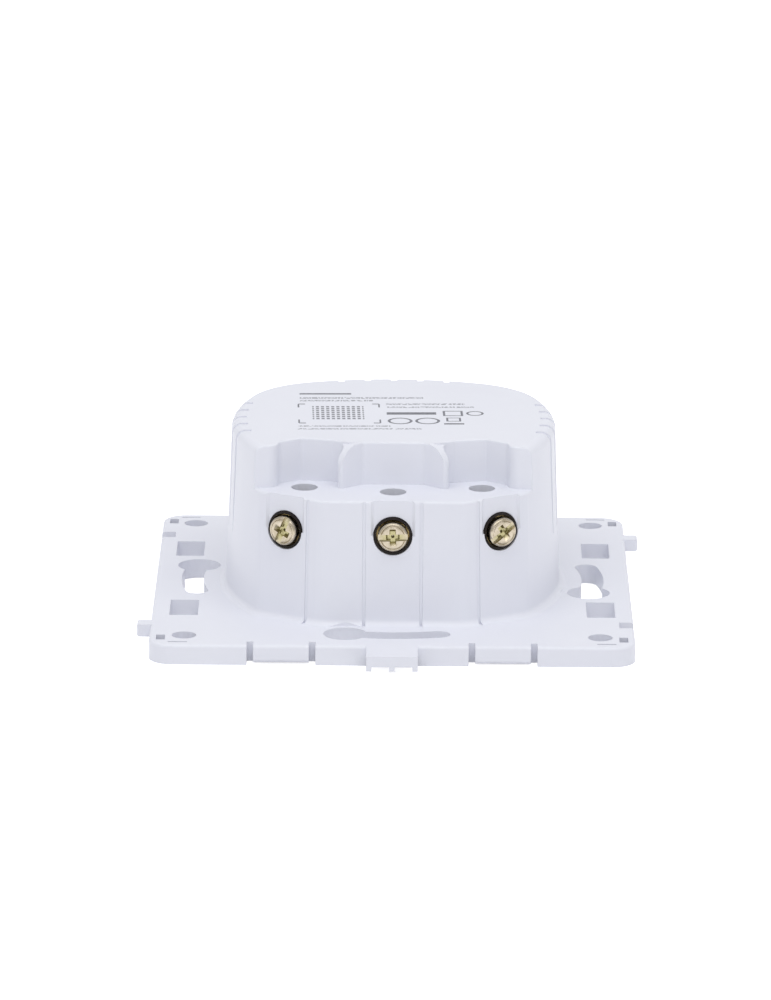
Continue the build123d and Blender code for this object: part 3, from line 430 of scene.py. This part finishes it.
# Electrolytic can: a dark shrink sleeve with one plain pale stripe down its side
canLook = {
    "sleeve": (0.016, 0.018, 0.030),
    "stripe": (0.36, 0.37, 0.40),
    "stripeHalf": 1.1 * mm,
    "top": (0.62, 0.62, 0.64),
    "topInset": 0.3 * mm,
    "wrinkleSize": 0.8 * mm,
    "wrinkleDepth": 0.02 * mm,
    "roughness": (0.22, 0.38),
}


def canSleeve(name):
    mat, tree, shader = newMaterial(name)
    where = coordinates(tree)
    low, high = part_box("bulk_capacitor")
    middle = (low + high) / 2
    part = tree.nodes.new("ShaderNodeSeparateXYZ")
    tree.links.new(where, part.inputs[0])
    x, y, z = part.outputs
    offLine = sums(tree, "ABSOLUTE", sums(tree, "SUBTRACT", y, middle.y))
    onLine = sums(tree, "LESS_THAN", offLine, canLook["stripeHalf"])
    rightSide = sums(tree, "GREATER_THAN", x, middle.x)
    stripe = sums(tree, "MULTIPLY", onLine, rightSide)
    bareTop = sums(tree, "GREATER_THAN", z, high.z - canLook["topInset"])
    sleeve = blendColours(tree, stripe, canLook["sleeve"], canLook["stripe"])
    tree.links.new(blendColours(tree, bareTop, sleeve, canLook["top"]), shader.inputs["Base Color"])
    tree.links.new(bareTop, shader.inputs["Metallic"])
    wrinkles = noise(tree, where, canLook["wrinkleSize"], 3.0)
    tree.links.new(span(tree, wrinkles, *canLook["roughness"]), shader.inputs["Roughness"])
    tree.links.new(bump(tree, wrinkles, canLook["wrinkleDepth"]), shader.inputs["Normal"])
    return mat


# Light guide: clear plastic with a satin face
guideLook = {
    "colour": (0.90, 0.93, 0.95),
    "milky": (0.84, 0.88, 0.91),
    "milkySize": 2.5 * mm,
    "grainSize": 0.20 * mm,
    "grainDepth": 0.004 * mm,
    "roughness": (0.22, 0.38),
    "transmission": 0.75,
    "ior": 1.58,
}


def clearPlastic(name):
    mat, tree, shader = newMaterial(name)
    where = coordinates(tree)
    grain = noise(tree, where, guideLook["grainSize"], 3.0)
    milky = span(tree, noise(tree, where, guideLook["milkySize"]), 0, 1)
    tone = blendColours(tree, milky, guideLook["colour"], guideLook["milky"])
    tree.links.new(tone, shader.inputs["Base Color"])
    tree.links.new(span(tree, grain, *guideLook["roughness"]), shader.inputs["Roughness"])
    tree.links.new(bump(tree, grain, guideLook["grainDepth"]), shader.inputs["Normal"])
    shader.inputs["Transmission Weight"].default_value = guideLook["transmission"]
    shader.inputs["IOR"].default_value = guideLook["ior"]
    return mat


finishes = {
    "frame_plastic": mouldedPlastic("frame_plastic", whitePlastic)[0],
    "housing_plastic": printedPlastic("housing_plastic", housingLook),
    "cover_plastic": mouldedPlastic("cover_plastic", whitePlastic)[0],
    "board_green": circuitBoard("board_green"),
    "copper_wire": copperWinding("copper_wire"),
    "can_black": canSleeve("can_black"),
    "clear_plastic": clearPlastic("clear_plastic"),
}
for slotName, look in plastics.items():
    finishes[slotName] = mouldedPlastic(slotName, look)[0]
for slotName, look in metals.items():
    finishes[slotName] = metal(slotName, look)
for row in frame["record"]["subparts"]:
    node = nodes[row["node"]]
    node.data.materials.clear()
    node.data.materials.append(finishes[row["material_slot"]])
print("materials made:", len(finishes))


# White floor just under the frame, and the soft light of a photo tent
floorLook = {
    "size": 6.0,
    "top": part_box("mounting_frame")[0].z,
    "colour": (0.86, 0.86, 0.87),
    "glow": 0.75,
}


def makeFloor():
    bm = bmesh.new()
    bmesh.ops.create_grid(bm, x_segments=1, y_segments=1, size=floorLook["size"] / 2)
    bmesh.ops.translate(bm, vec=(0, 0, floorLook["top"]), verts=bm.verts)
    mesh = bpy.data.meshes.new("floor")
    bm.to_mesh(mesh)
    bm.free()
    floor = bpy.data.objects.new("floor", mesh)
    bpy.context.scene.collection.objects.link(floor)
    mat = bpy.data.materials.new("floor")
    mat.use_nodes = True
    tree = mat.node_tree
    tree.nodes.clear()
    out = tree.nodes.new("ShaderNodeOutputMaterial")
    paper = tree.nodes.new("ShaderNodeBsdfDiffuse")
    paper.inputs["Color"].default_value = (*floorLook["colour"], 1)
    glow = tree.nodes.new("ShaderNodeEmission")
    tree.links.new(sums(tree, "MULTIPLY", seenRays(tree), floorLook["glow"]), glow.inputs["Strength"])
    both = tree.nodes.new("ShaderNodeAddShader")
    tree.links.new(paper.outputs[0], both.inputs[0])
    tree.links.new(glow.outputs[0], both.inputs[1])
    under = tree.nodes.new("ShaderNodeNewGeometry")
    clear = tree.nodes.new("ShaderNodeBsdfTransparent")
    side = tree.nodes.new("ShaderNodeMixShader")  # seen from below, the floor isn't there
    tree.links.new(under.outputs["Backfacing"], side.inputs[0])
    tree.links.new(both.outputs[0], side.inputs[1])
    tree.links.new(clear.outputs[0], side.inputs[2])
    tree.links.new(side.outputs[0], out.inputs["Surface"])
    mesh.materials.append(mat)


makeFloor()


studio = {
    "surround": (0.98, 0.985, 1.0),
    "level": (0.63, 0.83),  # at the horizon and overhead
    "lamps": {  # place and aim in metres, size, strength on a white card that faces the lamp
        "highLeft": {"place": (-0.296, -0.423, 0.971), "aim": (0, 0, 0.01), "size": 0.80, "level": 0.171},
        "highRight": {"place": (0.296, -0.423, 0.971), "aim": (0, 0, 0.01), "size": 0.80, "level": 0.171},
    },
}


def makeStudio():
    world = bpy.data.worlds.new("studio")
    bpy.context.scene.world = world
    world.use_nodes = True
    tree = world.node_tree
    tree.nodes.clear()
    out = tree.nodes.new("ShaderNodeOutputWorld")
    dome = tree.nodes.new("ShaderNodeBackground")
    dome.inputs["Color"].default_value = (*studio["surround"], 1)
    place = tree.nodes.new("ShaderNodeTexCoord")
    part = tree.nodes.new("ShaderNodeSeparateXYZ")
    tree.links.new(place.outputs["Generated"], part.inputs[0])
    tree.links.new(span(tree, part.outputs["Z"], *studio["level"], 0.0, 1.0), dome.inputs["Strength"])
    white = tree.nodes.new("ShaderNodeBackground")
    pick = tree.nodes.new("ShaderNodeMixShader")
    tree.links.new(seenRays(tree), pick.inputs[0])
    tree.links.new(dome.outputs[0], pick.inputs[1])
    tree.links.new(white.outputs[0], pick.inputs[2])
    tree.links.new(pick.outputs[0], out.inputs["Surface"])
    for name, look in studio["lamps"].items():
        data = bpy.data.lights.new(name, "AREA")
        data.shape = "DISK"
        data.size = look["size"]
        way = Vector(look["place"]) - Vector(look["aim"])
        data.energy = look["level"] * math.pi**2 * way.length_squared
        lamp = bpy.data.objects.new(name, data)
        bpy.context.scene.collection.objects.link(lamp)
        lamp.location = look["place"]
        lamp.rotation_mode = "QUATERNION"
        lamp.rotation_quaternion = way.to_track_quat("Z", "Y")


makeStudio()
print("studio made")


# Clamp screws: domed heads with a slot across a cross, real turns of thread and a plain spigot
screwLook = {  # lengths in mm, along the screw, which is drawn screwed home
    "headRadius": 2.20,
    "headChamfer": 0.10,
    "headSeat": 3.30,
    "headTop": 4.75,
    "discRadius": 1.66,
    "discDrop": 0.07,
    "grooveWidth": 0.18,
    "grooveDepth": 0.12,
    "rimTop": 4.12,
    "rimSteps": 6,
    "discSteps": 5,
    "rootRadius": 1.16,
    "crestRadius": 1.44,
    "threadPitch": 0.50,
    "toothFoot": (0.08, 0.42),  # where a tooth leaves the root and comes back to it, along its pitch
    "toothCrest": (0.22, 0.28),
    "turnSteps": 40,
    "threadEnd": -0.95,
    "neck": 3.05,
    "join": 0.05,  # how far the core runs into the head
    "coreUnder": 0.02,  # how far it lies under the root of the thread
    "shoulderDrop": 0.10,
    "spigotRadius": 0.88,
    "spigotChamfer": 0.15,
    "spigotEnd": -1.84,
    "slotWidth": 0.98,
    "slotDepth": 0.55,
    "crossWidth": 1.15,
    "crossLength": 3.70,
    "crossDepth": 0.92,
    "crossNarrow": (0.42, 0.62),  # length and width at its bottom, as a share of the top
    "dimpleRadius": (0.05, 0.675),  # at the bottom and top of the cone
    "dimpleLength": 1.9,
    "dimpleSink": 0.55,
    "edgeRound": 0.045,
    "sharpAngle": 32,
    "smoothAngle": 35,
    "recessShadeFull": 0.40,  # depth at which a recess gets its painted shade in full
    "sides": 64,
    "turns": (66.0, 2.0, 33.0),  # degrees of the slot from level, left to right
}


def spinProfile(bm, points, sides):
    verts = [bm.verts.new((r * mm, 0, z * mm)) for r, z in points]
    edges = [bm.edges.new(pair) for pair in zip(verts, verts[1:])]
    bmesh.ops.spin(bm, geom=verts + edges, cent=(0, 0, 0), axis=(0, 0, 1), dvec=(0, 0, 0),
                   angle=2 * math.pi, steps=sides, use_merge=True, use_duplicate=False)
    bmesh.ops.remove_doubles(bm, verts=bm.verts, dist=0.0005 * mm)
    bmesh.ops.recalc_face_normals(bm, faces=bm.faces)


def meshObject(name, bm):
    mesh = bpy.data.meshes.new(name)
    bm.to_mesh(mesh)
    bm.free()
    piece = bpy.data.objects.new(name, mesh)
    bpy.context.scene.collection.objects.link(piece)
    return piece


def applyModifiers(piece):
    graph = bpy.context.evaluated_depsgraph_get()
    mesh = bpy.data.meshes.new_from_object(piece.evaluated_get(graph))
    piece.modifiers.clear()
    piece.data = mesh


# A nearly flat disc with a fine groove round it, and a rounded rim
def headProfile(look):
    radius, top, disc = look["headRadius"], look["headTop"], look["discRadius"]
    seat, chamfer = look["headSeat"], look["headChamfer"]
    points = [(0, seat), (radius - chamfer, seat), (radius, seat + chamfer)]
    shoulder = top - look["discDrop"] - look["rimTop"]
    width = radius - disc - look["grooveWidth"]
    for i in range(look["rimSteps"] + 1):  # the rim, a quarter of an ellipse
        a = math.radians(90) * i / look["rimSteps"]
        points.append((radius - width * (1 - math.cos(a)), look["rimTop"] + shoulder * math.sin(a)))
    points.append((disc + look["grooveWidth"] / 2, top - look["discDrop"] - look["grooveDepth"]))
    for i in range(look["discSteps"] + 1):  # the disc
        r = disc * (1 - i / look["discSteps"])
        points.append((r, top - look["discDrop"] * (r / disc) ** 2))
    return points


def slotCutter(look):
    bm = bmesh.new()
    made = bmesh.ops.create_cube(bm, size=1.0)["verts"]
    size = (4 * look["headRadius"] * mm, look["slotWidth"] * mm, 2 * look["slotDepth"] * mm)
    bmesh.ops.scale(bm, vec=size, verts=made)
    bmesh.ops.translate(bm, vec=(0, 0, look["headTop"] * mm), verts=made)
    return meshObject("slotCutter", bm)


# One arm of the cross, a wedge that is wide at the top and narrow at the bottom
def crossCutter(look, turn):
    bm = bmesh.new()
    made = bmesh.ops.create_cube(bm, size=1.0)["verts"]
    size = (look["crossLength"] * mm, look["crossWidth"] * mm, 2 * look["crossDepth"] * mm)
    bmesh.ops.scale(bm, vec=size, verts=made)
    for v in made:
        if v.co.z < 0:
            v.co.x *= look["crossNarrow"][0]
            v.co.y *= look["crossNarrow"][1]
    bmesh.ops.rotate(bm, cent=(0, 0, 0), matrix=Matrix.Rotation(math.radians(turn), 3, "Z"), verts=made)
    bmesh.ops.translate(bm, vec=(0, 0, look["headTop"] * mm), verts=made)
    return meshObject("crossCutter", bm)


# A cone that a drill would leave where the arms meet
def dimpleCutter(look):
    bm = bmesh.new()
    bottom, top = look["dimpleRadius"]
    made = bmesh.ops.create_cone(bm, cap_ends=True, segments=32, radius1=bottom * mm, radius2=top * mm,
                                 depth=look["dimpleLength"] * mm)["verts"]
    bmesh.ops.translate(bm, vec=(0, 0, (look["headTop"] - look["dimpleSink"]) * mm), verts=made)
    return meshObject("dimpleCutter", bm)


def cut(piece, cutter):
    modifier = piece.modifiers.new("recess", "BOOLEAN")
    modifier.object = cutter
    modifier.operation = "DIFFERENCE"
    modifier.solver = "EXACT"
    applyModifiers(piece)
    bpy.data.objects.remove(cutter)


def threadedShank(look):
    bm = bmesh.new()
    pitch, root, crest = look["threadPitch"], look["rootRadius"], look["crestRadius"]
    turns = int((look["neck"] - look["threadEnd"]) / pitch)
    foot, tip = look["toothFoot"], look["toothCrest"]
    tooth = [(root, 0), (root, foot[0]), (crest, tip[0]), (crest, tip[1]), (root, foot[1]), (root, pitch)]
    verts = [bm.verts.new((r * mm, 0, (look["threadEnd"] + z) * mm)) for r, z in tooth]
    edges = [bm.edges.new(pair) for pair in zip(verts, verts[1:])]
    steps = look["turnSteps"] * turns
    bmesh.ops.spin(bm, geom=verts + edges, cent=(0, 0, 0), axis=(0, 0, 1), angle=2 * math.pi * turns,
                   dvec=(0, 0, pitch * turns * mm / steps), steps=steps, use_merge=False, use_duplicate=False)
    bmesh.ops.remove_doubles(bm, verts=bm.verts, dist=0.0005 * mm)
    bmesh.ops.recalc_face_normals(bm, faces=bm.faces)
    return bm


# How far each point lies under the head's untouched surface, from 0 to 1, for the painted shade in the head's slot
# and cross
def markRecessShade(bm, look):
    layer = bm.verts.layers.float.new("recess")
    outline = sorted((r, z) for r, z in headProfile(look) if z > look["rimTop"] - 0.01)
    for v in bm.verts:
        r = math.hypot(v.co.x, v.co.y) / mm
        for (r0, z0), (r1, z1) in zip(outline, outline[1:]):
            if r0 <= r <= r1:
                surface = z0 + (z1 - z0) * (r - r0) / max(r1 - r0, 1e-6)
                v[layer] = min(1.0, max(0.0, (surface - v.co.z / mm) / look["recessShadeFull"]))
                break


# Spigot, core of the thread and neck, turned in one piece
def screwCore(look):
    spigot, root = look["spigotRadius"], look["rootRadius"] - look["coreUnder"]
    low, chamfer = look["spigotEnd"], look["spigotChamfer"]
    shoulder, high = look["threadEnd"] - look["shoulderDrop"], look["headSeat"] + look["join"]
    bm = bmesh.new()
    spinProfile(bm, [(0, low), (spigot - chamfer, low), (spigot, low + chamfer), (spigot, shoulder),
                     (root, shoulder), (root, look["neck"]), (look["crestRadius"], high), (0, high)],
                look["sides"])
    return bm


def addTo(bm, part):
    scrap = bpy.data.meshes.new("scrap")
    part.to_mesh(scrap)
    part.free()
    bm.from_mesh(scrap)
    bpy.data.meshes.remove(scrap)


# Onto the turning joint's axis, as far out as the head of the node that it stands for
def screwPlace(number, look):
    joint = [j for j in frame["joints"] if j["name"] == f"screw_{number}_turn"][0]
    out = Vector(joint["axis"]).normalized()
    up = Vector((0, 0, 1))
    place = Matrix((up.cross(out), up, out)).transposed().to_4x4()
    middle = Vector(joint["pos_m"])
    node = nodes[f"terminal_screw_{number}"]
    highest = max((v.co - middle).dot(out) for v in node.data.vertices)
    place.translation = middle + out * (highest - look["headTop"] * mm)
    return place


def smoothByAngle(mesh, degrees):
    bm = bmesh.new()
    bm.from_mesh(mesh)
    for edge in bm.edges:
        edge.smooth = len(edge.link_faces) == 2 and edge.calc_face_angle() < math.radians(degrees)
    for face in bm.faces:
        face.smooth = True
    bm.to_mesh(mesh)
    bm.free()


def clampScrew(number, turn):
    look = screwLook
    head = bmesh.new()
    spinProfile(head, headProfile(look), look["sides"])
    piece = meshObject(f"clamp_screw_{number}", head)
    cut(piece, slotCutter(look))
    for quarter in (0, 90):
        cut(piece, crossCutter(look, quarter))
    cut(piece, dimpleCutter(look))
    bm = bmesh.new()
    bm.from_mesh(piece.data)
    bmesh.ops.remove_doubles(bm, verts=bm.verts, dist=0.002 * mm)
    limit = math.radians(look["sharpAngle"])
    sharp = [e for e in bm.edges if len(e.link_faces) == 2 and e.calc_face_angle() > limit]
    bmesh.ops.bevel(bm, geom=sharp, offset=look["edgeRound"] * mm, offset_type="OFFSET", segments=2,
                    profile=0.5, affect="EDGES", clamp_overlap=True, material=-1)
    markRecessShade(bm, look)
    addTo(bm, threadedShank(look))
    addTo(bm, screwCore(look))
    turned = screwPlace(number, look) @ Matrix.Rotation(math.radians(turn), 4, "Z")
    bmesh.ops.transform(bm, matrix=turned, verts=bm.verts)
    bm.to_mesh(piece.data)
    bm.free()
    piece.data.materials.clear()
    piece.data.materials.append(finishes["screw_brass"])
    smoothByAngle(piece.data, look["smoothAngle"])
    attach(piece, f"screw_{number}")
    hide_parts(f"terminal_screw_{number}")


for number, turn in enumerate(screwLook["turns"], 1):
    clampScrew(number, turn)
print("clamp screws made")


# Camera, matched to the photograph: its height over the floor plane, its distance and its small roll
cameraLook = {
    "elevation": 15.381,
    "turn": 0.107,
    "roll": 0.358,
    "distance": 1049.43 * mm,
    "shiftRight": -1.077 * mm,
    "shiftUp": 11.843 * mm,
    "lens": 251.55,
    "sensor": 36.0,
    "clip": (0.01, 20.0),
}


def makeCamera():
    look = cameraLook
    high, turn, roll = (math.radians(look[k]) for k in ("elevation", "turn", "roll"))
    back = Vector((math.sin(turn) * math.cos(high), -math.cos(turn) * math.cos(high), math.sin(high)))
    level = Vector((math.cos(turn), math.sin(turn), 0))
    upright = back.cross(level)
    right = math.cos(roll) * level + math.sin(roll) * upright
    up = math.cos(roll) * upright - math.sin(roll) * level
    data = bpy.data.cameras.new("photoCamera")
    data.lens = look["lens"]
    data.sensor_width = look["sensor"]
    data.clip_start, data.clip_end = look["clip"]
    camera = bpy.data.objects.new("photoCamera", data)
    bpy.context.scene.collection.objects.link(camera)
    place = Matrix((right, up, back)).transposed().to_4x4()
    place.translation = back * look["distance"] + right * look["shiftRight"] + up * look["shiftUp"]
    camera.matrix_world = place
    bpy.context.scene.camera = camera


makeCamera()
bpy.context.scene.view_settings.view_transform = "Standard"
print("camera made")

bpy.context.view_layer.update()
